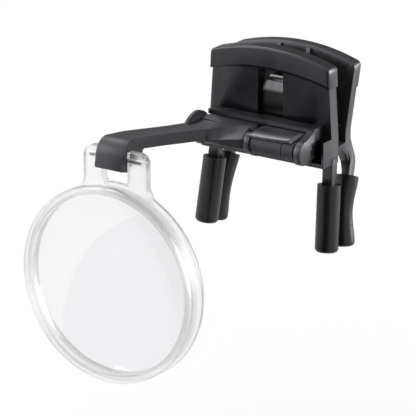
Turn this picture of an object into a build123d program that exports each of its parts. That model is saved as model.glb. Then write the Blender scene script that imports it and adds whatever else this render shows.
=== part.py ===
from build123d import *
import os
from math import atan2, degrees, radians, tan

# Clip-on eyeglass loupe in millimetres: a sprung clip with four rubber-sleeved legs that grips the
# bridge of a pair of spectacles, and a round lens on a cranked arm that flips up.
# +X is to the right as seen from the front, -Y points away from the wearer, +Z is up.
# Pieces are drawn about the clip: x = 0 is its middle, y = 0 the front face of the front plate and
# z = 0 the top of the hinge rail. At export all of them move so that the origin is the grip.

# Fits shared by the pieces
running_gap = 0.05
seat_gap = 0.05
side_gap = 0.15
overrun = 1.0

# Where the spectacles are held: the middle of the pinch between the four sleeves
grip_depth = 2.15
grip_drop = 19.5

# Front jaw
plate_thickness = 2.6
plate_half_width = 13.9
band_half_width = 14.3
band_top_half_width = 14.1
band_proud = 0.7
band_side_z = 7.7
band_crown = 1.9
band_height = 4.0
band_top_crown = 2.3
band_corner = 1.2
band_edge_round = 0.5
ear_half_width = 14.6
ear_thickness = 0.5
ear_reach = 3.0
ear_height = 5.4
shelf_drop = 8.1
shelf_thickness = 0.85
window_half_width = 3.0
window_low_z = -0.3
channel_wall = 0.7
channel_drop = 7.2

# Jaw hinge between the two plates
pivot_y = 4.4
pivot_z = -5.6
pivot_radius = 0.6
knuckle_radius = 1.5
front_knuckle_inner = 4.0
knuckle_length = 2.4

# Legs: each front leg is a straight bar, and each rear one bows back before it turns down
leg_width = 2.3
leg_depth = 1.8
front_leg_root = (13.6, 1.15, -8.1)
front_leg_splay = 0.0575
front_leg_lean = 0.147
front_leg_length = 15.6
rear_leg_side = 1.8
rear_leg_bend = 2.2
rear_leg_extra = 0.6
rear_leg_extra_x = (12.35, 13.3)
rear_leg_extra_z = (-9.3, -11.3)
rear_shoulder_x = (12.4, 14.5)
rear_shoulder_front = [(2.8, -5.0), (4.3, -5.9), (5.6, -7.1), (6.3, -8.1), (6.9, -9.3)]
rear_shoulder_back = [(8.2, -9.3), (7.3, -5.9), (6.2, -4.6)]
rear_leg_points = [
    (13.3, 6.5, -3.6),
    (13.9, 8.1, -9.1),
    (14.3, 6.55, -12.6),
    (14.7, 4.55, -19.2),
    (15.32, 3.8, -24.65),
]

# Rubber sleeves
sleeve_radius = 2.4
sleeve_bore = 1.56
sleeve_length = 13.8
sleeve_top_drop = 3.85
sleeve_shift = 0.45
sleeve_end_round = 0.9
rear_sleeve_radius = 2.3
rear_sleeve_waist = 1.95
rear_sleeve_bore = 1.36
rear_sleeve_floor = 1.3

# Rear jaw
rear_inner_y = 5.5
rear_thickness = 1.9
rear_knee_z = -2.3
rear_lean = 14.0
rear_low_z = -6.6
rear_side_z = 10.7
rear_crown = 2.25
rear_half_width = 14.5
rear_band_z = 5.9
rear_band_proud = 0.5
rear_rim = 1.5
rear_pocket = 0.7
rear_pocket_low_z = -1.6
rear_rib_x = 3.5
rear_rib_thickness = 0.8
rear_rib_height = 0.5
rear_rib_rise = 1.7

# Flat clamp spring
strip_half_width = 2.5
strip_thickness = 0.4
strip_front_y = 1.25
strip_rear_y = 3.3
strip_bend_z = -2.7
strip_tip_z = 6.55
strip_tip_lean = 0.6
strip_tip_length = 1.7
strip_crest_z = 7.4
strip_end_z = 5.5
strip_bend = 0.95
strip_corner = 1.0

# Hinge carrier with its rail
rail_half_width = 12.7
rail_front_y = -3.4
rail_rear_y = -0.8
rail_thickness = 1.0
web_front_y = -2.2
lip_height = 2.7
cheek_thickness = 1.5
cheek_neck = [(-3.4, -1.45), (-1.85, -1.45), (-1.85, -1.9)]
cheek_rear = [(-2.6, -2.7), (-3.0, -3.7), (-3.25, -6.0), (-4.4, -6.45)]
cheek_toe = (-7.25, -5.35)
cheek_toe_radius = 1.25
lug_radius = 2.3
lug_x = (-0.85, 0.45)
foot_reach = (0.8, 1.4)
foot_thickness = 0.5
flip_y = -6.4
flip_z = -4.2
cheek_radius = 2.4
boss_radius = 0.62
boss_stretch = 0.45
boss_height = 0.2
boss_rim = 0.25
boss_depth = 0.5
boss_back = 2.35
boss_drop = 0.7
notch_from_end = 0.5
notch_size = 0.6

# Screws that hold the carrier to the front plate
screw_x = 9.7
screw_z = -5.0
screw_radius = 0.6
screw_head_radius = 1.2
screw_head_height = 0.8
screw_bite = 1.6

# Flip hinge
axle_radius = 0.8
axle_end_wall = 0.4
barrel_radius = 2.0
sleeve_x = (0.6, 7.8)
collar_x = (7.95, 10.6)
collar_flat = 1.75
cover_x = (0.25, 11.15)
cover_left_rear_x = 1.35
cover_left_top = [(-8.3, -2.1), (-5.9, -1.3), (-3.7, -1.05)]
cover_right_top = [(-7.95, -1.75), (-5.9, -1.12), (-3.7, -1.15)]
cover_front_drop = 0.7
cover_undercut = 0.3
cover_tongue = 0.6
cover_end_wall = 0.45
cover_end_low = [(-3.7, -2.4), (-5.9, -3.28), (-8.15, -2.9)]
leaf_x = (8.2, 10.35)
leaf_thickness = 0.3
leaf_half_height = 1.9
coil_radius = 1.3
coil_wire = 0.22
coil_pitch = 0.8
coil_turns = 7

# Lens arm
arm_top_z = -1.55
arm_thickness = 2.4
root_x = (-12.85, -0.4)
knuckle_x = (-11.0, -1.2)
root_rear_y = -4.0
root_rear_z = -0.95
root_rear_low_z = -2.3
root_front_y = -6.0
root_front_z = -1.3
arm_neck_y = -9.0
fin_x = (-13.5, -12.85)
fin_y = -6.95
fin_z = -4.65
fin_radius = 5.0
fin_rear_y = -3.6
arm_left = [(-21.05, -21.45), (-15.95, -13.8), (-13.8, -9.9)]
arm_right = [(-13.1, -18.5), (-8.2, -11.2)]
arm_straight = 1.3

# Sweep from the arm's side into the hinge: for each x, the crease above, the hollow's middle, its
# foot and the lower edge, as (y, z); its back is inside the root plate
sweep_back = (-5.0, -1.2)
sweep_x = (-8.2, -5.65, -3.4, -1.1)
sweep_crease = [(-11.2, -1.55), (-7.6, -1.45), (-6.4, -1.35), (-6.0, -1.3)]
sweep_hollow = [(-11.13, -2.7), (-8.7, -2.75), (-7.8, -2.55), (-7.45, -2.3)]
sweep_foot = [(-11.2, -3.9), (-10.3, -3.65), (-9.55, -3.35), (-9.0, -3.1)]
sweep_under = [(-11.2, -3.95), (-10.0, -4.6), (-9.3, -4.95), (-8.8, -5.0)]

# Hook at the arm's end; its outline is given from the tilt axis as (y, z)
hook_x = -19.3
hook_half_width = 3.1
tilt_y = -26.05
tilt_z = -5.7
hook_bend_start = 0.75
hook_nose = [(-1.8, 3.25), (-2.9, 1.0)]
hook_lip = [(-3.35, -1.2), (-2.95, -1.65), (-0.85, -2.25), (-0.6, -1.7)]
hook_mouth = [(-0.55, -0.9), (0.65, -0.9)]
hook_heel = [(0.75, -1.7), (3.3, -1.1), (4.3, 0.1), (4.5, 1.0)]
hook_heel_end = 6.0
hook_trim_z = -9.0

# Tilt bar that the hook snaps over, with thinner ends that press into the frame's ears
bar_radius = 1.25
bar_half_length = 3.05
bar_end_radius = 0.5
bar_end_length = 3.1

# Lens and its clear frame
seat_radius = 19.5
seat_ledge = 0.6
frame_wall = 0.65
frame_lip = 0.5
frame_reach = 4.0
frame_depth = 4.3
flange_thickness = 1.0
ridge_thickness = 0.9
ear_gap = 3.15
ear_width = 4.4
ear_half_depth = 0.87
ear_rise = 1.95
ear_length = 5.05
ear_round = 2.1
ear_flare = 1.1
ear_flare_drop = 0.15
ear_foot_drop = 2.55
ear_base_drop = 3.25
lens_edge = 0.9
lens_crown = 2.1
retainer_width = 0.75
retainer_depth = 1.1

# Worked out from the sizes above: the ring's radii and where the lens hangs from the tilt bar
clear_radius = seat_radius - seat_ledge
wall_radius = seat_radius + frame_wall
flange_radius = wall_radius + frame_lip
lens_z = tilt_z - ear_length - flange_radius
frame_front_y = tilt_y - frame_reach


def block(x, y, z):
    """A box from pairs of low and high values along each axis."""
    middle = [(low + high) / 2 for low, high in (x, y, z)]
    return Pos(*middle) * Box(x[1] - x[0], y[1] - y[0], z[1] - z[0])


def rod(y, z, radius, x):
    """A round bar along X."""
    middle = (x[0] + x[1]) / 2
    return Pos(middle, y, z) * Rot(0, 90, 0) * Cylinder(radius, x[1] - x[0])


def disc(x, z, radius, y):
    """A round bar along Y."""
    middle = (y[0] + y[1]) / 2
    return Pos(x, middle, z) * Rot(90, 0, 0) * Cylinder(radius, y[1] - y[0])


def along_x(face, x):
    """Carry a (y, z) face from the first x to the second."""
    return Pos(x[0], 0, 0) * extrude(Plane.YZ * face, x[1] - x[0])


def along_y(face, y):
    """Carry an (x, z) face from the first y to the second."""
    return Pos(0, y[1], 0) * extrude(Plane.XZ * face, y[1] - y[0])


def polygon(points):
    return make_face(Polyline(*points, close=True))


def crowned_face(low, low_crown, high, high_crown):
    """A face between two arcs; low and high give each arc's end as (half width, z)."""
    lower = ThreePointArc((-low[0], low[1]), (0, low[1] + low_crown), low)
    upper = ThreePointArc((-high[0], high[1]), (0, high[1] + high_crown), high)
    sides = [Line((sign * low[0], low[1]), (sign * high[0], high[1])) for sign in (-1, 1)]
    return make_face(Curve() + [lower, upper] + sides)


def mirrored(part):
    return mirror(part, about=Plane.YZ)


def leg_plane():
    """The plane square to the right front leg, at its root, pointing down the leg."""
    down = Vector(front_leg_splay, -front_leg_lean, -1)
    return Plane(origin=front_leg_root, x_dir=(1, 0, 0), z_dir=down)


def front_knuckle_x():
    return (front_knuckle_inner, front_knuckle_inner + knuckle_length)


def rear_knuckle_x():
    start = front_knuckle_inner + knuckle_length + side_gap
    return (start, start + knuckle_length)


def front_jaw():
    """Front plate with its thumb band, window, end ears, shelf, hinge knuckles and two legs."""
    shelf_z = -shelf_drop
    ear_top = shelf_z + ear_height
    plate_top = band_side_z + band_height / 2
    outline = polygon([
        (-ear_half_width, shelf_z),
        (ear_half_width, shelf_z),
        (ear_half_width, ear_top),
        (plate_half_width, band_side_z),
        (plate_half_width, plate_top),
        (-plate_half_width, plate_top),
        (-plate_half_width, band_side_z),
        (-ear_half_width, ear_top),
    ])
    jaw = along_y(outline, (0, plate_thickness))
    band_top = (band_top_half_width, band_side_z + band_height)
    face = crowned_face((band_half_width, band_side_z), band_crown, band_top, band_top_crown)
    band = along_y(face, (-band_proud, plate_thickness))
    corners = band.edges().filter_by(Axis.Y).group_by(Axis.Z)[-1]
    band = fillet(corners, band_corner)
    top_edges = band.faces().sort_by(Axis.Y)[0].edges().sort_by(Axis.Z)[-3:]
    jaw += fillet(top_edges, band_edge_round)
    jaw += block(
        (-ear_half_width, ear_half_width),
        (-ear_reach, plate_thickness / 2),
        (shelf_z, shelf_z + shelf_thickness),
    )
    for sign in (-1, 1):
        ear = sorted((sign * ear_half_width, sign * (ear_half_width - ear_thickness)))
        jaw += block(ear, (-ear_reach, plate_thickness / 2), (shelf_z, ear_top))
        knuckle = sorted(sign * x for x in front_knuckle_x())
        jaw += rod(pivot_y, pivot_z, knuckle_radius, knuckle)
        web_z = (pivot_z - knuckle_radius, pivot_z + knuckle_radius)
        jaw += block(knuckle, (plate_thickness / 2, pivot_y), web_z)
    jaw -= block(
        (-window_half_width, window_half_width),
        (-overrun, plate_thickness + overrun),
        (window_low_z, band_side_z + band_crown),
    )
    jaw -= block(
        (-window_half_width, window_half_width),
        (channel_wall, plate_thickness + overrun),
        (-channel_drop, window_low_z + overrun),
    )
    reach = (-ear_half_width, ear_half_width)
    jaw -= rod(pivot_y, pivot_z, pivot_radius + running_gap, reach)
    for sign in (-1, 1):
        x = sign * screw_x
        through = (-overrun, plate_thickness + overrun)
        jaw -= disc(x, screw_z, screw_radius + running_gap, through)
        head = (plate_thickness - screw_head_height - seat_gap, plate_thickness + overrun)
        jaw -= disc(x, screw_z, screw_head_radius + running_gap, head)
    section = leg_plane() * Rectangle(leg_width, leg_depth)
    leg = extrude(section, front_leg_length) + extrude(section, -shelf_thickness)
    return jaw + leg + mirrored(leg)


def front_sleeve(shift):
    """Rubber tube with a closed, rounded end, pushed over the right front leg."""
    plane = leg_plane().offset(sleeve_top_drop + shift)
    tube = extrude(plane * Circle(sleeve_radius), sleeve_length)
    tube = fillet(tube.edges().group_by(Axis.Z)[0], sleeve_end_round)
    leg_end = front_leg_length - sleeve_top_drop - shift
    return tube - extrude(plane * Circle(sleeve_bore), leg_end + seat_gap)


def rear_leg_path():
    return FilletPolyline(*rear_leg_points, radius=rear_leg_bend)


def rear_face_y(z):
    """How far back the rear plate's inner face is at height z."""
    return rear_inner_y + max(z - rear_knee_z, 0) * tan(radians(rear_lean))


def rear_slab(inset, thickness, low, high):
    """The leaning plate's side profile, moved back by inset, as a (y, z) face."""
    heights = [low] + [rear_knee_z] * (low < rear_knee_z) + [high]
    inner = [(rear_face_y(z) + inset, z) for z in heights]
    outer = [(y + thickness, z) for y, z in reversed(inner)]
    return polygon(inner + outer)


def rear_jaw():
    """Rear plate with its thumb band, pocket, ribs, hinge knuckles and two bowed legs."""
    low = (rear_half_width, rear_low_z)
    top = (rear_half_width, rear_side_z)
    top_z = rear_side_z + rear_crown + overrun
    reach_x = (-rear_half_width - overrun, rear_half_width + overrun)
    reach_y = (0, rear_face_y(top_z) + rear_thickness + overrun)
    outline = along_y(crowned_face(low, 0.5 * rear_rim, top, rear_crown), reach_y)
    jaw = along_x(rear_slab(0, rear_thickness, rear_low_z, top_z), reach_x)
    jaw += along_x(rear_slab(0, rear_thickness + rear_band_proud, rear_band_z, top_z), reach_x)
    jaw = jaw & outline
    corners = jaw.edges().filter_by(Axis.Y).group_by(Axis.Z)[-1]
    jaw = fillet(corners, band_corner)
    pocket_low = (rear_half_width - rear_rim, rear_pocket_low_z)
    pocket_top = (rear_half_width - rear_rim, rear_side_z - rear_rim)
    pocket_face = crowned_face(pocket_low, 0.5 * rear_rim, pocket_top, rear_crown)
    pocket = along_x(rear_slab(-overrun, rear_pocket + overrun, rear_pocket_low_z, top_z), reach_x)
    pocket = pocket & along_y(pocket_face, reach_y)
    jaw -= pocket
    for sign in (-1, 1):
        rib_x = (sign * rear_rib_x - rear_rib_thickness / 2, sign * rear_rib_x + rear_rib_thickness / 2)
        rib_face = rear_slab(-rear_rib_height, rear_pocket + rear_rib_height + seat_gap,
                             rear_pocket_low_z, rear_side_z + rear_rib_rise)
        jaw += along_x(rib_face, rib_x)
        relief = sorted(sign * x for x in front_knuckle_x())
        relief = (relief[0] - side_gap, relief[1] + side_gap)
        jaw -= rod(pivot_y, pivot_z, knuckle_radius + side_gap, relief)
    for sign in (-1, 1):
        knuckle = sorted(sign * x for x in rear_knuckle_x())
        jaw += rod(pivot_y, pivot_z, knuckle_radius, knuckle)
        web_z = (pivot_z - knuckle_radius / 2, pivot_z + knuckle_radius)
        jaw += block(knuckle, (pivot_y, rear_inner_y + rear_thickness / 2), web_z)
    reach = (-rear_half_width, rear_half_width)
    jaw -= rod(pivot_y, pivot_z, pivot_radius + running_gap, reach)
    path = rear_leg_path()
    start = Plane(origin=path @ 0, x_dir=(1, 0, 0), z_dir=path % 0)
    leg = sweep(start * Rectangle(rear_leg_side, rear_leg_side), path=path)
    inner, taper_end = rear_leg_extra_x
    taper_start_z, taper_end_z = rear_leg_extra_z
    kept = polygon([
        (inner, 0),
        (rear_half_width + overrun, 0),
        (rear_half_width + overrun, taper_end_z),
        (taper_end, taper_end_z),
        (inner, taper_start_z),
    ])
    leg += Pos(-rear_leg_extra, 0, 0) * leg & along_y(kept, reach_y)
    leg += along_x(polygon(rear_shoulder_front + rear_shoulder_back), rear_shoulder_x)
    return jaw + leg + mirrored(leg)


def rear_sleeve():
    """Waisted rubber tube over the right rear leg, following its lower bend."""
    path = rear_leg_path()
    shares = (0.41, 0.55, 0.74, 0.9, 1.0)
    radii = (
        rear_sleeve_radius,
        (rear_sleeve_radius + rear_sleeve_waist) / 2,
        rear_sleeve_waist,
        (rear_sleeve_radius + rear_sleeve_waist) / 2,
        rear_sleeve_radius,
    )
    planes = [Plane(origin=path @ share, x_dir=(1, 0, 0), z_dir=path % share) for share in shares]
    planes.append(planes[-1].offset(rear_sleeve_floor))
    outer = loft([plane * Circle(r) for plane, r in zip(planes, radii + (rear_sleeve_radius,))])
    outer = fillet(outer.edges().group_by(Axis.Z)[0], sleeve_end_round)
    bore_planes = planes[:-2] + [planes[-2].offset(seat_gap)]
    bore = loft([plane * Circle(rear_sleeve_bore) for plane in bore_planes])
    return outer - bore


def clamp_spring():
    """Flat steel strip bent to a U that pushes the two plates apart above the pivot."""
    end_y = rear_face_y(strip_end_z) + rear_pocket - strip_thickness
    points = [
        (strip_front_y + strip_tip_lean, strip_tip_z),
        (strip_front_y, strip_tip_z - strip_tip_length),
        (strip_front_y, strip_bend_z),
        (strip_rear_y, strip_bend_z),
        (strip_rear_y, strip_crest_z),
        (end_y, strip_end_z),
    ]
    path = FilletPolyline(*[(0, y, z) for y, z in points], radius=strip_bend)
    start = Plane(origin=path @ 0, x_dir=(1, 0, 0), z_dir=path % 0)
    strip = sweep(start * Rectangle(2 * strip_half_width, strip_thickness), path=path)
    tip = strip.faces().sort_by_distance(path @ 0)[0]
    short = tip.edges().sort_by(SortBy.LENGTH)[:2]
    return fillet(short, strip_corner)


def jaw_hinge_pin():
    end = rear_knuckle_x()[1]
    return rod(pivot_y, pivot_z, pivot_radius, (-end, end))


def cheek_x():
    return (rail_half_width - cheek_thickness, rail_half_width)


def oval(radius, x):
    """An upright round-ended bar along X at the boss on the right cheek."""
    y = flip_y + boss_back
    z = flip_z - boss_drop
    bar = block(x, (y - radius, y + radius), (z - boss_stretch, z + boss_stretch))
    for sign in (-1, 1):
        bar += rod(y, z + sign * boss_stretch, radius, x)
    return bar


def flip_carrier():
    """Rail, web, two end cheeks and a middle lug that carry the flip axle."""
    span = (-rail_half_width, rail_half_width)
    low = -shelf_drop + shelf_thickness + seat_gap
    carrier = block(span, (rail_front_y, rail_rear_y), (-rail_thickness, 0))
    carrier += block(span, (web_front_y, rail_rear_y), (-lip_height, 0))
    carrier += block(span, (web_front_y, -seat_gap), (low, -lip_height))
    inner, outer = cheek_x()
    cheek = (inner, outer)
    behind = (web_front_y - overrun, overrun)
    carrier -= block((inner, outer + overrun), behind, (low - overrun, -lip_height))
    neck = [(flip_y, flip_z + cheek_radius), (cheek_neck[0][0], -rail_thickness / 2)]
    neck += [*cheek_neck[1:], *cheek_rear, (flip_y, flip_z - cheek_radius)]
    carrier += along_x(polygon(neck), cheek)
    carrier += block((inner - foot_thickness, outer), (rail_rear_y, -seat_gap), (-lip_height, 0))
    carrier += rod(flip_y, flip_z, cheek_radius, cheek)
    carrier += rod(*cheek_toe, cheek_toe_radius, cheek)
    for x in ((-outer, -inner), lug_x):
        carrier += rod(flip_y, flip_z, lug_radius, x)
        carrier += block(x, (flip_y + foot_reach[0], flip_y + foot_reach[1]), (low, flip_z))
        carrier += block(x, (flip_y + foot_reach[0], web_front_y), (low, low + foot_thickness))
    bore_end = rail_half_width - axle_end_wall
    bore_radius = axle_radius + running_gap
    carrier -= rod(flip_y, flip_z, bore_radius, (-bore_end, bore_end))
    for sign in (-1, 1):
        bite = (-screw_bite, overrun)
        carrier -= disc(sign * screw_x, screw_z, screw_radius + running_gap, bite)
    carrier += oval(boss_radius, (outer - boss_depth, outer + boss_height))
    carrier -= oval(boss_radius - boss_rim, (outer - boss_depth, outer + overrun))
    notch_x = -rail_half_width + notch_from_end
    carrier -= block(
        (notch_x, notch_x + notch_size),
        (rail_front_y - overrun, rail_front_y + notch_size / 2),
        (-rail_thickness + notch_size / 4, -notch_size / 3),
    )
    return carrier


def carrier_screws():
    """Two countersunk-in screws, driven from behind the front plate into the carrier's web."""
    screws = Part()
    head = (plate_thickness - screw_head_height, plate_thickness)
    for sign in (-1, 1):
        x = sign * screw_x
        screw = disc(x, screw_z, screw_head_radius, head)
        screw += disc(x, screw_z, screw_radius, (seat_gap - screw_bite, head[0]))
        slot = block(
            (x - screw_head_radius, x + screw_head_radius),
            (plate_thickness - screw_head_height / 2, plate_thickness + overrun),
            (screw_z - screw_radius / 4, screw_z + screw_radius / 4),
        )
        screws += screw - slot
    return screws


def flip_axle():
    end = rail_half_width - axle_end_wall - seat_gap
    return rod(flip_y, flip_z, axle_radius, (-end, end))


def hinge_sleeve():
    """Hollow barrel on the axle that covers the coil spring."""
    sleeve = rod(flip_y, flip_z, barrel_radius, sleeve_x)
    pocket = (sleeve_x[0] + seat_gap, sleeve_x[1] - 2 * coil_wire)
    wall = coil_radius + coil_wire + side_gap
    through = (sleeve_x[0] - overrun, sleeve_x[1] + overrun)
    sleeve -= rod(flip_y, flip_z, axle_radius + running_gap, through)
    return sleeve - rod(flip_y, flip_z, wall, (pocket[0] - overrun, pocket[1]))


def flip_coil():
    """Compression coil on the axle: the half turns are arcs that climb by half a pitch each."""
    first = sleeve_x[0] + seat_gap + coil_wire
    points = []
    for half in range(2 * coil_turns + 1):
        sign = 1 if half % 2 == 0 else -1
        x = first + half * coil_pitch / 2
        points.append((x, flip_y + sign * coil_radius, flip_z))
    arcs = []
    for half in range(2 * coil_turns):
        a, b = points[half], points[half + 1]
        rise = coil_radius if half % 2 == 0 else -coil_radius
        arcs.append(ThreePointArc(a, ((a[0] + b[0]) / 2, flip_y, flip_z + rise), b))
    turns = Part()
    for arc in arcs:
        start = Plane(origin=arc @ 0, z_dir=arc % 0)
        turns += sweep(start * Circle(coil_wire), path=arc)
    return turns


def cam_collar():
    """Collar keyed to the axle, with flats that the detent leaf presses on."""
    collar = rod(flip_y, flip_z, barrel_radius, collar_x)
    wide = (collar_x[0] - overrun, collar_x[1] + overrun)
    collar -= rod(flip_y, flip_z, axle_radius + running_gap, wide)
    beyond = flip_y + collar_flat + overrun
    tall = (flip_z - barrel_radius, flip_z + barrel_radius)
    collar -= block(wide, (flip_y + collar_flat, beyond), tall)
    under = (flip_z - collar_flat - overrun, flip_z - collar_flat)
    return collar - block(wide, (flip_y - barrel_radius, beyond), under)


def detent_leaf():
    """Bent steel leaf in front of the carrier's web, bearing on the cam collar's rear flat."""
    face_y = flip_y + collar_flat + seat_gap
    low = flip_z - leaf_half_height
    high = flip_z + leaf_half_height - leaf_thickness
    leaf = block(leaf_x, (face_y, face_y + leaf_thickness), (low, high + leaf_thickness))
    for z in (low, high):
        leaf += block(leaf_x, (face_y, web_front_y - seat_gap), (z, z + leaf_thickness))
    return leaf


def cover_section(top, x):
    """The cover's cross-section under its crowned top, as a face at x."""
    front_low = (top[0][0] + cover_undercut, top[0][1] - cover_front_drop)
    rear_low = (top[-1][0], top[-1][1] - cover_tongue)
    lines = [ThreePointArc(*top), Polyline(top[-1], rear_low, front_low, top[0])]
    return Pos(x, 0, 0) * (Plane.YZ * make_face(Curve() + lines))


def hinge_cover():
    """Glossy crowned cover over the barrel, with an end wall and a tongue that slides under the rail."""
    left, right = cover_x
    ends = [cover_section(cover_left_top, left), cover_section(cover_right_top, right)]
    cover = loft(ends, ruled=True)
    cover -= rod(flip_y, flip_z, barrel_radius + side_gap, cover_x)
    cover -= rod(flip_y, flip_z, lug_radius + seat_gap, (lug_x[0], lug_x[1] + seat_gap))
    wall_top = ThreePointArc(*cover_right_top)
    wall_low = ThreePointArc(*cover_end_low)
    sides = [Line(cover_right_top[-1], cover_end_low[0]), Line(cover_end_low[-1], cover_right_top[0])]
    cover += along_x(make_face(Curve() + [wall_top, wall_low] + sides), (right - cover_end_wall, right))
    rear_y, rear_z = cover_right_top[-1]
    tongue = (rear_y, web_front_y - seat_gap)
    cover += block((cover_left_rear_x, right), tongue, (rear_z - cover_tongue, rear_z))
    slant = polygon([
        (left - overrun, cover_left_top[0][0] - overrun),
        (left, cover_left_top[0][0]),
        (cover_left_rear_x, rear_y),
        (left - overrun, rear_y),
    ])
    return cover - Pos(0, 0, flip_z) * extrude(slant, -flip_z)


def arm_plan():
    """The arm's outline seen from above, from the hook to the hinge."""
    left = hook_x - hook_half_width
    right = hook_x + hook_half_width
    outer_y = tilt_y + hook_bend_start
    return polygon([
        (left, outer_y),
        *arm_left,
        (fin_x[0], arm_neck_y),
        (root_x[0], arm_neck_y),
        (root_x[0], sweep_back[0]),
        (sweep_x[0], sweep_back[0]),
        *reversed(arm_right),
        (right, outer_y + arm_straight),
        (right, outer_y),
    ])


def sweep_section(index):
    """One section of the hollow sweep between the arm's side and the hinge."""
    crease, hollow = sweep_crease[index], sweep_hollow[index]
    foot, under = sweep_foot[index], sweep_under[index]
    back = [(sweep_back[0], flip_z), sweep_back, crease]
    lines = [ThreePointArc(crease, hollow, foot), Polyline(foot, under, *back)]
    return Pos(sweep_x[index], 0, 0) * (Plane.YZ * make_face(Curve() + lines))


def lens_arm():
    """Arm with its hinge knuckle, root plate, thumb fin and the hook that holds the lens."""
    low = arm_top_z - arm_thickness
    arm = Pos(0, 0, low) * extrude(arm_plan(), arm_thickness)
    root_face = polygon([
        (root_rear_y, root_rear_z),
        (root_front_y, root_front_z),
        (flip_y, flip_z),
        (root_rear_y, root_rear_low_z),
    ])
    arm += along_x(root_face, root_x)
    for index in range(len(sweep_x) - 1):
        arm += loft([sweep_section(index), sweep_section(index + 1)], ruled=True)
    for gap in ((root_x[0] - overrun, knuckle_x[0]), (knuckle_x[1], root_x[1] + overrun)):
        arm -= rod(flip_y, flip_z, lug_radius + side_gap / 2, gap)
    arm += rod(flip_y, flip_z, barrel_radius, knuckle_x)
    arm += thumb_fin()
    nose = [(tilt_y + y, tilt_z + z) for y, z in hook_nose]
    under = [(tilt_y + y, tilt_z + z) for y, z in hook_lip + hook_mouth + hook_heel]
    bend_start = (tilt_y + hook_bend_start, arm_top_z)
    heel_end_y = tilt_y + hook_heel_end
    close = [(heel_end_y, low), (heel_end_y, arm_top_z), bend_start]
    outline = Curve() + [ThreePointArc(bend_start, *nose), Polyline(nose[-1], *under, *close)]
    hook_wide = (hook_x - hook_half_width, hook_x + hook_half_width)
    hook = along_x(make_face(outline), hook_wide)
    trim = polygon([(hook_wide[0], bend_start[0]), *arm_left[:2], (hook_wide[0], arm_left[1][1])])
    arm += hook - Pos(0, 0, hook_trim_z) * extrude(trim, -hook_trim_z)
    through = (hook_wide[0] - overrun, hook_wide[1] + overrun)
    arm -= rod(tilt_y, tilt_z, bar_radius + running_gap, through)
    axle_bore = (knuckle_x[0] - overrun, knuckle_x[1] + overrun)
    return arm - rod(flip_y, flip_z, axle_radius + running_gap, axle_bore)


def thumb_fin():
    """Round tab at the root plate's left end."""
    low = arm_top_z - arm_thickness
    seen = block(fin_x, (fin_y - fin_radius, fin_rear_y), (low, fin_z + fin_radius))
    return rod(fin_y, fin_z, fin_radius, fin_x) & seen


def tilt_bar():
    """Round bar between the frame's ears, with thinner ends that sit in their blind bores."""
    bar = rod(tilt_y, tilt_z, bar_radius, (hook_x - bar_half_length, hook_x + bar_half_length))
    end = ear_gap + bar_end_length
    return bar + rod(tilt_y, tilt_z, bar_end_radius, (hook_x - end, hook_x + end))


def lens_frame():
    """Clear ring with a front flange, a rear ridge and two ears that hold the tilt bar."""
    rear_y = frame_front_y + frame_depth
    flange_y = (frame_front_y, frame_front_y + flange_thickness)
    frame = disc(hook_x, lens_z, flange_radius, flange_y)
    frame += disc(hook_x, lens_z, wall_radius, (flange_y[1], rear_y))
    frame += disc(hook_x, lens_z, flange_radius, (rear_y - ridge_thickness, rear_y))
    outer = ear_gap + ear_width
    ring_top = lens_z + flange_radius
    top_z = tilt_z + ear_rise
    ear_y = (tilt_y - ear_half_depth, tilt_y + ear_half_depth)
    for sign in (-1, 1):
        outline = [
            (ear_gap - ear_flare / 2, ring_top - ear_foot_drop),
            (ear_gap - ear_flare / 2, ring_top - ear_flare_drop),
            (ear_gap, ring_top - ear_flare_drop + ear_flare),
            (ear_gap, top_z),
            (outer, top_z),
            (outer, ring_top - ear_flare_drop),
            (outer + ear_flare, ring_top - ear_foot_drop),
            (outer, ring_top - ear_base_drop),
        ]
        ear = along_y(polygon([(hook_x + sign * x, z) for x, z in outline]), ear_y)
        top = ear.edges().filter_by(Axis.Y).group_by(Axis.Z)[-1].sort_by(Axis.X)
        frame += fillet(top[-1] if sign > 0 else top[0], ear_round)
    reach_y = (frame_front_y - overrun, ear_y[1] + overrun)
    frame -= disc(hook_x, lens_z, clear_radius, reach_y)
    frame -= disc(hook_x, lens_z, seat_radius, (flange_y[1], reach_y[1]))
    end = ear_gap + bar_end_length + seat_gap
    return frame - rod(tilt_y, tilt_z, bar_end_radius + running_gap / 2, (hook_x - end, hook_x + end))


def lens():
    """Plano-convex disc: flat in front, crowned towards the eye."""
    radius = seat_radius - seat_gap
    front = frame_front_y + flange_thickness + seat_gap
    edge_y = front + lens_edge
    half = [
        Line((0, front), (radius, front)),
        Line((radius, front), (radius, edge_y)),
        Line((0, front), (0, edge_y + lens_crown)),
    ]
    dome_radius = (radius ** 2 + lens_crown ** 2) / (2 * lens_crown)
    half_share = 0.5
    middle_x = radius * half_share
    centre_y = edge_y + lens_crown - dome_radius
    middle_y = centre_y + (dome_radius ** 2 - middle_x ** 2) ** 0.5
    half.append(ThreePointArc((radius, edge_y), (middle_x, middle_y), (0, edge_y + lens_crown)))
    solid = revolve(make_face(Curve() + half), Axis.Y)
    return Pos(hook_x, 0, lens_z) * solid


def lens_retainer():
    """Thin ring pressed in behind the lens."""
    start = frame_front_y + flange_thickness + seat_gap + lens_edge + seat_gap
    y = (start, start + retainer_depth)
    ring = disc(hook_x, lens_z, seat_radius - seat_gap, y)
    dome = lens()
    inner = seat_radius - retainer_width
    ring -= disc(hook_x, lens_z, inner, (y[0] - overrun, y[1] + overrun))
    return ring - dome


right_sleeve = front_sleeve(sleeve_shift)
left_sleeve = mirrored(front_sleeve(-sleeve_shift))
rear_right_sleeve = rear_sleeve()

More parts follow.
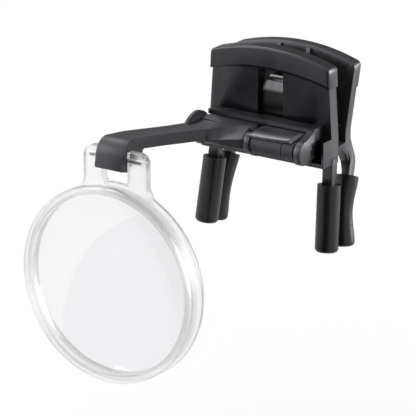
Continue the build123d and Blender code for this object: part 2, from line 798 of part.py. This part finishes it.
parts = {
    "front_jaw": front_jaw(),
    "rear_jaw": rear_jaw(),
    "front_sleeve_right": right_sleeve,
    "front_sleeve_left": left_sleeve,
    "rear_sleeve_right": rear_right_sleeve,
    "rear_sleeve_left": mirrored(rear_right_sleeve),
    "jaw_hinge_pin": jaw_hinge_pin(),
    "clamp_spring": clamp_spring(),
    "flip_carrier": flip_carrier(),
    "carrier_screws": carrier_screws(),
    "flip_axle": flip_axle(),
    "hinge_sleeve": hinge_sleeve(),
    "flip_coil": flip_coil(),
    "cam_collar": cam_collar(),
    "detent_leaf": detent_leaf(),
    "hinge_cover": hinge_cover(),
    "lens_arm": lens_arm(),
    "tilt_bar": tilt_bar(),
    "lens_frame": lens_frame(),
    "lens": lens(),
    "lens_retainer": lens_retainer(),
}

os.makedirs("parts", exist_ok=True)
to_grip = Pos(0, -grip_depth, grip_drop)
for name, part in parts.items():
    export_step(to_grip * part, f"parts/{name}.step")
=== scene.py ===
import bmesh
import bpy
import math
import numpy as np
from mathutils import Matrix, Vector


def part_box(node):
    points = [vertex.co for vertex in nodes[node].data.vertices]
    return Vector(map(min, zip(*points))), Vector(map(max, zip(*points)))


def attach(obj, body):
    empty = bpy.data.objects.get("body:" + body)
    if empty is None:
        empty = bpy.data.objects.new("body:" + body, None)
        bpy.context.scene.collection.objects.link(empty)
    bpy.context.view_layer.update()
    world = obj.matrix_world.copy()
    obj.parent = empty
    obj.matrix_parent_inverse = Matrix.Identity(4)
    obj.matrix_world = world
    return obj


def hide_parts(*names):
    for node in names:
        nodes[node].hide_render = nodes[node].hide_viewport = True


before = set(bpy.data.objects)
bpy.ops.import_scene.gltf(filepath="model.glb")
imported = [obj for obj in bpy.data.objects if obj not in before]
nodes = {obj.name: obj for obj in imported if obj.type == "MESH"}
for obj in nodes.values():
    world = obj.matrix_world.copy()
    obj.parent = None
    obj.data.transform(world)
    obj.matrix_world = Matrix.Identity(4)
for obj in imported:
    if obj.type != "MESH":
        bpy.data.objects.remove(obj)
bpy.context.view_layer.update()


# Moulded plates, carrier and hinge barrel
# The two plates, the hinge carrier, the barrel, its collar and the tilt bar are injection-moulded
# black ABS. Its fine spark-eroded grain leaves a soft grey sheen, and the edges of the larger
# mouldings are broken by the mould's small radius.

def linear(hex_colour):
    """sRGB hex value as linear colour: each channel is (c + 0.055) / 1.055 to the power 2.4, or
    c / 12.92 near black."""
    values = [int(hex_colour[i:i + 2], 16) / 255 for i in (1, 3, 5)]
    return tuple(v / 12.92 if v <= 0.04045 else ((v + 0.055) / 1.055) ** 2.4 for v in values) + (1.0,)


def add_node(owner, kind, settings=None, links=None):
    """Adds one node to a material or to the world. Settings go to its properties or sockets by name,
    and links to its inputs."""
    node = owner.node_tree.nodes.new(kind)
    for name, value in (settings or {}).items():
        if isinstance(name, str) and name in node.bl_rna.properties:
            setattr(node, name, value)
        else:
            node.inputs[name].default_value = value
    for name, source in (links or {}).items():
        owner.node_tree.links.new(source, node.inputs[name])
    return node


def new_material(name):
    """Empty material and the shader in it."""
    material = bpy.data.materials.new(name)
    material.use_nodes = True
    shader = next(n for n in material.node_tree.nodes if n.type == "BSDF_PRINCIPLED")
    return material, shader


def dress_piece(piece, material, edge_mm=0.0):
    """Gives a piece a finish, welds its triangles, rounds its edges and smooths it."""
    piece.data.materials.clear()
    piece.data.materials.append(material)
    piece.data.polygons.foreach_set("use_smooth", np.ones(len(piece.data.polygons), bool))
    weld = piece.modifiers.new("weld", "WELD")
    weld.merge_threshold = 2e-6
    if edge_mm:
        bevel = piece.modifiers.new("edge", "BEVEL")
        bevel.width = edge_mm / 1000
        bevel.segments = 2
        bevel.limit_method = "ANGLE"
        bevel.angle_limit = math.radians(40)
        bevel.use_clamp_overlap = True
    split = piece.modifiers.new("crease", "EDGE_SPLIT")
    split.split_angle = math.radians(32)


def dress(names, material, edge_mm=0.0):
    """Dresses CAD nodes by their names."""
    for name in names:
        dress_piece(nodes[name], material, edge_mm)


def moulded_abs(name, colour, worn, roughness, gloss, grain_mm=0.45, grain_depth_mm=0.02, relief=None):
    """Moulded ABS: even colour with faint flow clouds, and a grain that dulls the gloss. The real
    grain is too fine to show, so it is drawn as coarse as it needs to be. A relief, where given, is
    a function that returns a normal which shades whole faces as if they were turned."""
    cloud_mm = 6.25
    material, shader = new_material(name)
    place = add_node(material, "ShaderNodeTexCoord").outputs["Object"]
    clouds = add_node(material, "ShaderNodeTexNoise",
                      {"Scale": 1000 / cloud_mm, "Detail": 3.0, "Roughness": 0.55}, {"Vector": place})
    tone = add_node(material, "ShaderNodeMix", {"data_type": "RGBA", 6: linear(colour), 7: linear(worn)},
                    {0: clouds.outputs["Fac"]})
    dull = add_node(material, "ShaderNodeMapRange",
                    {"To Min": roughness - 0.05, "To Max": roughness + 0.07},
                    {"Value": clouds.outputs["Fac"]})
    grain = add_node(material, "ShaderNodeTexNoise",
                     {"Scale": 1000 / grain_mm, "Detail": 4.0}, {"Vector": place})
    bump = add_node(material, "ShaderNodeBump", {"Strength": 0.35, "Distance": grain_depth_mm / 1000},
                    {"Height": grain.outputs["Fac"]})
    links = material.node_tree.links
    if relief:
        links.new(relief(material, place), bump.inputs["Normal"])
    links.new(tone.outputs[2], shader.inputs["Base Color"])
    links.new(dull.outputs["Result"], shader.inputs["Roughness"])
    links.new(bump.outputs["Normal"], shader.inputs["Normal"])
    shader.inputs["IOR"].default_value = 1.53
    shader.inputs["Specular IOR Level"].default_value = gloss
    shader.inputs["Specular Tint"].default_value = linear("#f7f7ff")
    return material


def leaning_face(material, place):
    """Normal that shades the front plate as if it leant, since the real one does and the solid is
    upright. The front faces and the legs lean forward by one part in seven, or by one in fourteen
    where they stand as far forward as the thumb band. The band's lower edge is an arc, so the
    height above that edge is the distance from the arc's centre less its radius. Where this is less
    than the edge's round, the surface falls by the square of what is missing over twice the round."""
    plate_lean, band_lean = 1 / 7, 1 / 14
    looks_forward, band_face, leg_root = -0.5, -0.0025, 0.0128
    arc_radius, arc_middle, edge_round = 0.0548, -0.0257, 0.00055
    axes = add_node(material, "ShaderNodeSeparateXYZ", {}, {0: place}).outputs
    normal = add_node(material, "ShaderNodeNewGeometry").outputs["True Normal"]
    facing = add_node(material, "ShaderNodeSeparateXYZ", {}, {0: normal}).outputs["Y"]
    front = add_node(material, "ShaderNodeMath", {"operation": "LESS_THAN", 1: looks_forward}, {0: facing})
    above_leg = add_node(material, "ShaderNodeMath", {"operation": "SUBTRACT", 1: leg_root}, {0: axes["Z"]})
    leg = add_node(material, "ShaderNodeMath", {"operation": "LESS_THAN", 1: 0.0},
                   {0: above_leg.outputs[0]})
    leaning = add_node(material, "ShaderNodeMath", {"operation": "MAXIMUM"},
                       {0: front.outputs[0], 1: leg.outputs[0]})
    band = add_node(material, "ShaderNodeMath", {"operation": "LESS_THAN", 1: band_face}, {0: axes["Y"]})
    lean = add_node(material, "ShaderNodeMapRange", {"To Min": plate_lean, "To Max": band_lean},
                    {"Value": band.outputs[0]})
    slope = add_node(material, "ShaderNodeMath", {"operation": "MULTIPLY"},
                     {0: lean.outputs["Result"], 1: leaning.outputs[0]})
    rise = add_node(material, "ShaderNodeMath", {"operation": "MULTIPLY"},
                    {0: slope.outputs[0], 1: above_leg.outputs[0]})
    from_middle = add_node(material, "ShaderNodeVectorMath",
                           {"operation": "SUBTRACT", 1: (0.0, 0.0, arc_middle)}, {0: place})
    in_plane = add_node(material, "ShaderNodeVectorMath", {"operation": "MULTIPLY", 1: (1.0, 0.0, 1.0)},
                        {0: from_middle.outputs["Vector"]})
    reach = add_node(material, "ShaderNodeVectorMath", {"operation": "LENGTH"},
                     {0: in_plane.outputs["Vector"]})
    missing = add_node(material, "ShaderNodeMapRange",
                       {"From Min": arc_radius, "From Max": arc_radius + edge_round,
                        "To Min": edge_round, "To Max": 0.0}, {"Value": reach.outputs["Value"]})
    square = add_node(material, "ShaderNodeMath", {"operation": "POWER", 1: 2.0},
                      {0: missing.outputs["Result"]})
    fall = add_node(material, "ShaderNodeMath", {"operation": "DIVIDE", 1: -2 * edge_round},
                    {0: square.outputs[0]})
    edge = add_node(material, "ShaderNodeMath", {"operation": "MULTIPLY"},
                    {0: fall.outputs[0], 1: band.outputs[0]})
    height = add_node(material, "ShaderNodeMath", {"operation": "ADD"},
                      {0: rise.outputs[0], 1: edge.outputs[0]})
    shape = add_node(material, "ShaderNodeBump", {"Strength": 1.0, "Distance": 1.0},
                     {"Height": height.outputs[0]})
    return shape.outputs["Normal"]


black_abs = moulded_abs("abs_black_moulded", "#121214", "#1a1a1d", 0.4, 0.74)
plate_abs = moulded_abs("abs_black_front_plate", "#0f0f11", "#17171a", 0.32, 0.6, relief=leaning_face)
barrel_abs = moulded_abs("abs_black_matt_barrel", "#121214", "#1a1a1d", 0.66, 0.8)
dress(["front_jaw"], plate_abs, edge_mm=0.22)
dress(["rear_jaw", "flip_carrier"], black_abs, edge_mm=0.22)
dress(["cam_collar", "hinge_sleeve", "tilt_bar"], barrel_abs)


# Lens arm
# The cranked arm is one black ABS moulding with a coarser, slightly leathery skin. The faces of its
# root that look right are flat in the solid and are shaded as if steeply turned up to the light.

def upturned_tab(material, place):
    """Normal that shades the arm root's faces that look right, the round tab's among them, as if they
    were turned up and forward: the height falls by 1.3 for each unit upwards and grows by 0.6 for
    each unit backwards, a tilt of 55 degrees that is the same all over."""
    rise_upwards, rise_backwards = -1.3, 0.6
    looks_right, root_front = 0.9, -0.0143
    axes = add_node(material, "ShaderNodeSeparateXYZ", {}, {0: place}).outputs
    normal = add_node(material, "ShaderNodeNewGeometry").outputs["True Normal"]
    facing = add_node(material, "ShaderNodeSeparateXYZ", {}, {0: normal}).outputs["X"]
    right = add_node(material, "ShaderNodeMath", {"operation": "GREATER_THAN", 1: looks_right}, {0: facing})
    root = add_node(material, "ShaderNodeMath", {"operation": "GREATER_THAN", 1: root_front},
                    {0: axes["Y"]})
    tab = add_node(material, "ShaderNodeMath", {"operation": "MULTIPLY"},
                   {0: right.outputs[0], 1: root.outputs[0]})
    upward = add_node(material, "ShaderNodeMath", {"operation": "MULTIPLY", 1: rise_upwards},
                      {0: axes["Z"]})
    backward = add_node(material, "ShaderNodeMath", {"operation": "MULTIPLY", 1: rise_backwards},
                        {0: axes["Y"]})
    total = add_node(material, "ShaderNodeMath", {"operation": "ADD"},
                     {0: upward.outputs[0], 1: backward.outputs[0]})
    height = add_node(material, "ShaderNodeMath", {"operation": "MULTIPLY"},
                      {0: total.outputs[0], 1: tab.outputs[0]})
    shape = add_node(material, "ShaderNodeBump", {"Strength": 1.0, "Distance": 1.0},
                     {"Height": height.outputs[0]})
    return shape.outputs["Normal"]


arm_abs = moulded_abs("abs_black_leathery_arm", "#121214", "#1b1b1e", 0.48, 0.74,
                      grain_mm=0.8, grain_depth_mm=0.09, relief=upturned_tab)
dress(["lens_arm"], arm_abs, edge_mm=0.22)


# Glossy hinge cover
# A snap-on strip of black ABS from a polished cavity, written paler than the other parts as painted
# light: the same black plastic lifted to stand in for the brightness that its gloss catches. It
# mirrors the lamp as a soft streak along its crown, and its front right corner is cut at a slant.

def slanted_cover(corner_mm=2.3, fall=1.6):
    """The cover's solid, trimmed by a plane. Level with its top, the plane runs from the back right
    corner to a point that lies corner_mm left of the front one, and it drops by the fall for each
    unit to the right. The solid's loose triangles are merged first, and the cut is closed."""
    low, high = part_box("hinge_cover")
    slant = corner_mm / 1000 / (high.y - low.y)
    work = bmesh.new()
    work.from_mesh(nodes["hinge_cover"].data)
    bmesh.ops.remove_doubles(work, verts=work.verts, dist=2e-6)
    everything = work.verts[:] + work.edges[:] + work.faces[:]
    cut = bmesh.ops.bisect_plane(work, geom=everything, dist=1e-7, plane_co=high,
                                 plane_no=(fall, -fall * slant, 1.0), clear_outer=True)
    rim = [edge for edge in cut["geom_cut"] if isinstance(edge, bmesh.types.BMEdge)]
    bmesh.ops.edgenet_fill(work, edges=rim)
    bmesh.ops.recalc_face_normals(work, faces=work.faces)
    mesh = bpy.data.meshes.new("slanted_cover")
    work.to_mesh(mesh)
    work.free()
    piece = bpy.data.objects.new("slanted_cover", mesh)
    bpy.context.scene.collection.objects.link(piece)
    return piece


# Paler base colour than the other black ABS: painted light on the same black plastic.
polished_abs_painted_light = moulded_abs("abs_black_polished_painted_light", "#25252a", "#2d2d32", 0.28, 1.0,
                           grain_mm=0.9, grain_depth_mm=0.002)
cover = slanted_cover()
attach(cover, "clip")
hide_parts("hinge_cover")
dress_piece(cover, polished_abs_painted_light, edge_mm=0.15)


# Rubber sleeves
# Dipped black rubber tubes pushed over the four legs, so that they grip spectacles without a
# scratch. The rubber is satin and a little dusty, with a pebble that softens its highlights.

def dipped_rubber():
    """Satin black rubber: dust in patches that lifts its colour and dulls it, and a cellular pebble,
    drawn coarser than the real one so that it shows."""
    dust_mm, pebble_mm, pebble_depth_mm = 2.381, 0.3846, 0.03
    material, shader = new_material("rubber_black_dipped")
    place = add_node(material, "ShaderNodeTexCoord").outputs["Object"]
    dust = add_node(material, "ShaderNodeTexNoise",
                    {"Scale": 1000 / dust_mm, "Detail": 5.0, "Roughness": 0.65}, {"Vector": place})
    tone = add_node(material, "ShaderNodeMix",
                    {"data_type": "RGBA", 6: linear("#070707"), 7: linear("#0e0e0e")},
                    {0: dust.outputs["Fac"]})
    dull = add_node(material, "ShaderNodeMapRange", {"To Min": 0.3, "To Max": 0.42},
                    {"Value": dust.outputs["Fac"]})
    pebble = add_node(material, "ShaderNodeTexVoronoi", {"Scale": 1000 / pebble_mm}, {"Vector": place})
    bump = add_node(material, "ShaderNodeBump", {"Strength": 0.25, "Distance": pebble_depth_mm / 1000},
                    {"Height": pebble.outputs["Distance"]})
    links = material.node_tree.links
    links.new(tone.outputs[2], shader.inputs["Base Color"])
    links.new(dull.outputs["Result"], shader.inputs["Roughness"])
    links.new(bump.outputs["Normal"], shader.inputs["Normal"])
    shader.inputs["IOR"].default_value = 1.5
    shader.inputs["Specular IOR Level"].default_value = 0.44
    return material


sleeve_names = ["front_sleeve_right", "front_sleeve_left", "rear_sleeve_right", "rear_sleeve_left"]
dress(sleeve_names, dipped_rubber())


# Springs, pins and screws
# Rolled spring steel, a dull grey, for the clamp strip, coil and leaf, and blackened steel for the
# pins and screws. Rolling leaves fine lines along the strip that stretch its highlight.

def rolled_steel(name, colour, stain, roughness, leaning_below=None):
    """Rolled steel with lines along the strip, drawn wider than the real ones so that they show.
    Below a height, in metres, a strip can be shaded as if it leant forward by one part in four."""
    line_width_mm, line_thickness_mm, line_length_mm, line_depth_mm = 0.3846, 2.0, 8.333, 0.01
    material, shader = new_material(name)
    place = add_node(material, "ShaderNodeTexCoord").outputs["Object"]
    along = add_node(material, "ShaderNodeMapping",
                     {"Scale": (1000 / line_width_mm, 1000 / line_thickness_mm, 1000 / line_length_mm)},
                     {"Vector": place})
    lines = add_node(material, "ShaderNodeTexNoise", {"Scale": 1.0, "Detail": 4.0},
                     {"Vector": along.outputs["Vector"]})
    tone = add_node(material, "ShaderNodeMix", {"data_type": "RGBA", 6: linear(colour), 7: linear(stain)},
                    {0: lines.outputs["Fac"]})
    dull = add_node(material, "ShaderNodeMapRange",
                    {"To Min": roughness - 0.08, "To Max": roughness + 0.12},
                    {"Value": lines.outputs["Fac"]})
    bump = add_node(material, "ShaderNodeBump", {"Strength": 0.3, "Distance": line_depth_mm / 1000},
                    {"Height": lines.outputs["Fac"]})
    links = material.node_tree.links
    if leaning_below:
        height = add_node(material, "ShaderNodeSeparateXYZ", {}, {0: place}).outputs["Z"]
        low = add_node(material, "ShaderNodeMath", {"operation": "MINIMUM", 1: leaning_below}, {0: height})
        lean = add_node(material, "ShaderNodeBump", {"Strength": 1.0, "Distance": 0.25},
                        {"Height": low.outputs[0]})
        links.new(lean.outputs["Normal"], bump.inputs["Normal"])
    links.new(tone.outputs[2], shader.inputs["Base Color"])
    links.new(dull.outputs["Result"], shader.inputs["Roughness"])
    links.new(bump.outputs["Normal"], shader.inputs["Normal"])
    shader.inputs["Metallic"].default_value = 1.0
    return material


spring_steel = rolled_steel("steel_spring_rolled", "#626364", "#3e3e40", 0.32, 0.024)
black_steel = rolled_steel("steel_blackened", "#3a3b3d", "#2c2d2f", 0.4)
dress(["clamp_spring", "flip_coil", "detent_leaf"], spring_steel)
dress(["jaw_hinge_pin", "flip_axle", "carrier_screws"], black_steel)


# Clear lens frame and retaining ring
# Injection-moulded clear acrylic. Its mould leaves it a little hazy, and its thick edges read pale
# grey because they show the room through several walls.

def clear_acrylic(name, roughness, ripple_depth_mm, clarity):
    """Clear acrylic with a slow ripple in its skin. The light that its clarity doesn't let through
    scatters in its own colour."""
    ripple_mm = 4.545
    material, shader = new_material(name)
    place = add_node(material, "ShaderNodeTexCoord").outputs["Object"]
    ripple = add_node(material, "ShaderNodeTexNoise", {"Scale": 1000 / ripple_mm, "Detail": 2.0},
                      {"Vector": place})
    dull = add_node(material, "ShaderNodeMapRange",
                    {"To Min": roughness, "To Max": roughness + 0.04}, {"Value": ripple.outputs["Fac"]})
    bump = add_node(material, "ShaderNodeBump", {"Strength": 0.15, "Distance": ripple_depth_mm / 1000},
                    {"Height": ripple.outputs["Fac"]})
    links = material.node_tree.links
    links.new(dull.outputs["Result"], shader.inputs["Roughness"])
    links.new(bump.outputs["Normal"], shader.inputs["Normal"])
    shader.inputs["IOR"].default_value = 1.49
    shader.inputs["Transmission Weight"].default_value = clarity
    return material, shader


acrylic, acrylic_shader = clear_acrylic("acrylic_clear_moulded", 0.3, 0.01, 0.94)
acrylic_shader.inputs["Base Color"].default_value = linear("#fefefe")
dress(["lens_frame"], acrylic, edge_mm=0.2)
dress(["lens_retainer"], acrylic)


# Lens
# Plano-convex optical acrylic, polished, flat in front and crowned towards the eye, seated
# against the frame's flange.

lens_low, lens_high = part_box("lens")
lens_centre = (lens_low + lens_high) / 2
lens_radius = (lens_high.x - lens_low.x) / 2
lens_rim = 0.0009
lens_crown = lens_high.y - lens_low.y - lens_rim


def lens_surface(rings=64, spokes=192):
    """Revolved profile: flat front from centre to rim, straight rim, then a spherical crown back to
    the centre. At a distance from the centre, the crown stands proud of the rim by its full height
    less the dome's radius, plus the root of that radius squared less the distance squared."""
    dome = (lens_radius ** 2 + lens_crown ** 2) / (2 * lens_crown)
    across = np.linspace(0, lens_radius, rings)
    front = np.stack([across, np.full(rings, lens_low.y)], 1)
    bulge = np.sqrt(dome ** 2 - across ** 2) - (dome - lens_crown)
    back = np.stack([across, lens_low.y + lens_rim + bulge], 1)[::-1]
    profile = np.concatenate([front, back])
    turn = np.linspace(0, 2 * np.pi, spokes, endpoint=False)
    radius = profile[:, None, 0]
    sideways = lens_centre.x + radius * np.cos(turn)
    depth = np.broadcast_to(profile[:, None, 1], (2 * rings, spokes))
    upwards = lens_centre.z + radius * np.sin(turn)
    return np.stack([sideways, depth, upwards], -1)


def grid_mesh(name, points, material):
    """Mesh of quads over a grid of points that closes on itself around its second direction."""
    rows, columns = points.shape[:2]
    index = np.arange(rows * columns).reshape(rows, columns)
    following = np.roll(index, -1, axis=1)
    quads = np.stack([index[:-1], index[1:], following[1:], following[:-1]], -1).reshape(-1, 4)
    mesh = bpy.data.meshes.new(name)
    mesh.from_pydata(points.reshape(-1, 3).tolist(), [], quads.tolist())
    mesh.update()
    mesh.polygons.foreach_set("use_smooth", np.ones(len(mesh.polygons), bool))
    piece = bpy.data.objects.new(name, mesh)
    bpy.context.scene.collection.objects.link(piece)
    mesh.materials.append(material)
    weld = piece.modifiers.new("weld", "WELD")
    weld.merge_threshold = 1e-6
    return piece


def mirrored_arc(material):
    """Colour of the lens with a faint arc across it, in place of the edge of a light that the real
    lens mirrors: a little paler outside a circle of 29.8 mm radius whose middle lies low on the
    right, greyer inside it. It is a tint, so it stays where it is in every view."""
    arc_radius, arc_blur = 0.0298, 0.0001
    arc_middle = (lens_centre.x + 0.0177, 0.0, lens_centre.z - 0.0122)
    place = add_node(material, "ShaderNodeTexCoord").outputs["Object"]
    from_middle = add_node(material, "ShaderNodeVectorMath", {"operation": "SUBTRACT", 1: arc_middle},
                           {0: place})
    in_plane = add_node(material, "ShaderNodeVectorMath", {"operation": "MULTIPLY", 1: (1.0, 0.0, 1.0)},
                        {0: from_middle.outputs["Vector"]})
    reach = add_node(material, "ShaderNodeVectorMath", {"operation": "LENGTH"},
                     {0: in_plane.outputs["Vector"]})
    outside = add_node(material, "ShaderNodeMapRange",
                       {"From Min": arc_radius, "From Max": arc_radius + arc_blur},
                       {"Value": reach.outputs["Value"]})
    tone = add_node(material, "ShaderNodeMix",
                    {"data_type": "RGBA", 6: linear("#f2f2f4"), 7: linear("#f8f8f8")},
                    {0: outside.outputs["Result"]})
    return tone.outputs[2]


optical, optical_shader = clear_acrylic("acrylic_optical_polished", 0.02, 0.002, 0.96)
optical.node_tree.links.new(mirrored_arc(optical), optical_shader.inputs["Base Color"])
lens_piece = grid_mesh("lens_disc", lens_surface(), optical)
crease = lens_piece.modifiers.new("crease", "EDGE_SPLIT")
crease.split_angle = math.radians(40)
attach(lens_piece, "loupe")
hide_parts("lens")


# Studio
# A white paper floor below the hanging loupe and a white room round it. Reflections alone see the
# room dark at the front and dim at the rear, which gives the black parts their contrast. Three
# soft lamps stand behind on the right, overhead, and in front on the left.

def mirrored_front(owner, direction):
    """Brightness that reflections see in a direction: white but for the room's dark front. Returns it
    with the share of the direction that points there."""
    dark_side = (0.26, -0.97, 0.0)
    unit = add_node(owner, "ShaderNodeVectorMath", {"operation": "NORMALIZE"}, {0: direction})
    facing = add_node(owner, "ShaderNodeVectorMath", {"operation": "DOT_PRODUCT", 1: dark_side},
                      {0: unit.outputs["Vector"]}).outputs["Value"]
    front = add_node(owner, "ShaderNodeMapRange",
                     {"From Min": 0.78, "From Max": 0.92, "To Min": 1.0, "To Max": 0.04}, {"Value": facing})
    return front.outputs["Result"], facing


def white_paper():
    """Matt white paper. Close under the loupe it takes light and shadow as paper does, and it fades to
    plain white further out. Glass shows it as the camera sees it. Reflections see it about as bright
    as the room, with the same dark front."""
    material, shader = new_material("paper_white")
    shader.inputs["Base Color"].default_value = linear("#f4f4f4")
    shader.inputs["Roughness"].default_value = 0.9
    place = add_node(material, "ShaderNodeTexCoord").outputs["Object"]
    path = add_node(material, "ShaderNodeLightPath").outputs
    away = add_node(material, "ShaderNodeVectorMath", {"operation": "LENGTH"}, {0: place}).outputs["Value"]
    fade = add_node(material, "ShaderNodeMapRange", {"From Min": 0.06, "From Max": 0.22}, {"Value": away})
    near = add_node(material, "ShaderNodeMapRange", {"From Min": 0.08, "From Max": 0.2, "To Min": 0.8},
                    {"Value": away})
    level = add_node(material, "ShaderNodeVectorMath", {"operation": "MULTIPLY", 1: (1.0, 1.0, 0.0)},
                     {0: place})
    front = mirrored_front(material, level.outputs["Vector"])[0]
    tone = add_node(material, "ShaderNodeMath", {"operation": "MULTIPLY"},
                    {0: near.outputs["Result"], 1: front})
    mirrored = add_node(material, "ShaderNodeMath", {"operation": "SUBTRACT", "use_clamp": True},
                        {0: path["Is Glossy Ray"], 1: path["Is Transmission Ray"]})
    strength = add_node(material, "ShaderNodeMix", {2: 1.0}, {0: mirrored.outputs[0], 3: tone.outputs[0]})
    straight = add_node(material, "ShaderNodeMath", {"operation": "MAXIMUM"},
                        {0: path["Is Camera Ray"], 1: path["Is Transmission Ray"]})
    faded = add_node(material, "ShaderNodeMath", {"operation": "MULTIPLY"},
                     {0: straight.outputs[0], 1: fade.outputs["Result"]})
    share = add_node(material, "ShaderNodeMath", {"operation": "MAXIMUM"},
                     {0: faded.outputs[0], 1: mirrored.outputs[0]})
    glow = add_node(material, "ShaderNodeEmission", {"Color": (1, 1, 1, 1)},
                    {"Strength": strength.outputs[0]})
    mix = add_node(material, "ShaderNodeMixShader", {},
                   {0: share.outputs[0], 1: shader.outputs[0], 2: glow.outputs[0]})
    out = next(n for n in material.node_tree.nodes if n.type == "OUTPUT_MATERIAL")
    material.node_tree.links.new(mix.outputs[0], out.inputs["Surface"])
    return material


def studio_floor(half=2.5, drop=0.03):
    """Flat square of paper a little under the lowest point of the loupe."""
    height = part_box("lens_frame")[0].z - drop
    corners = [(-half, -half, height), (half, -half, height), (half, half, height), (-half, half, height)]
    mesh = bpy.data.meshes.new("floor")
    mesh.from_pydata(corners, [], [(0, 1, 2, 3)])
    mesh.materials.append(white_paper())
    floor = bpy.data.objects.new("floor", mesh)
    bpy.context.scene.collection.objects.link(floor)


def lamp(name, place, size, power):
    """Square soft lamp that faces the loupe's middle; place and size are in metres."""
    loupe_middle = Vector((-0.008, -0.012, 0.0))
    light = bpy.data.lights.new(name, "AREA")
    light.size = size
    light.energy = power
    lamp_object = bpy.data.objects.new(name, light)
    lamp_object.location = place
    lamp_object.rotation_euler = (loupe_middle - Vector(place)).to_track_quat("-Z", "Y").to_euler()
    bpy.context.scene.collection.objects.link(lamp_object)


def white_room():
    """World that is white to the camera and through glass, and softer as a light. Reflections see it
    white at the sides, dim at the rear and dark at the front."""
    light_level = 0.48
    world = bpy.data.worlds.new("room")
    bpy.context.scene.world = world
    world.use_nodes = True
    background = world.node_tree.nodes["Background"]
    path = add_node(world, "ShaderNodeLightPath").outputs
    towards = add_node(world, "ShaderNodeTexCoord").outputs["Generated"]
    front, facing = mirrored_front(world, towards)
    rear = add_node(world, "ShaderNodeMapRange", {"From Min": -0.9, "From Max": -0.3, "To Min": 0.15},
                    {"Value": facing})
    tone = add_node(world, "ShaderNodeMath", {"operation": "MINIMUM"},
                    {0: front, 1: rear.outputs["Result"]})
    mirrored = add_node(world, "ShaderNodeMix", {2: light_level},
                        {0: path["Is Glossy Ray"], 3: tone.outputs[0]})
    straight = add_node(world, "ShaderNodeMath", {"operation": "MAXIMUM"},
                        {0: path["Is Camera Ray"], 1: path["Is Transmission Ray"]})
    strength = add_node(world, "ShaderNodeMix", {3: 1.0}, {0: straight.outputs[0], 2: mirrored.outputs[0]})
    background.inputs["Color"].default_value = (1, 1, 1, 1)
    world.node_tree.links.new(strength.outputs[0], background.inputs["Strength"])


studio_floor()
white_room()
lamp("lamp_overhead", (-0.38, 0.22, 0.58), 0.3, 1.4)
lamp("lamp_back_right", (0.5, 0.55, 0.12), 0.45, 6.0)
lamp("lamp_front_left", (-0.32, -0.25, 0.18), 0.3, 0.9)


# Camera
# A long lens at the photograph's angle: turned 34 degrees to the loupe's right and raised by
# nearly 19, 718 mm from the middle of the picture.

turned, raised, distance = math.radians(34.0), math.radians(18.7), 0.718
aim = Vector((-0.014654, -0.00275, -0.002916))
back = Vector((math.sin(turned) * math.cos(raised), -math.cos(turned) * math.cos(raised), math.sin(raised)))
camera_data = bpy.data.cameras.new("camera")
camera_data.lens = 302.9
camera_data.sensor_width = 36.0
camera_data.clip_start = 0.05
camera_data.clip_end = 20.0
camera = bpy.data.objects.new("camera", camera_data)
camera.location = aim + distance * back
camera.rotation_euler = (math.pi / 2 - raised, 0.0, turned)
bpy.context.scene.collection.objects.link(camera)
bpy.context.scene.camera = camera
bpy.context.scene.view_settings.view_transform = "Standard"
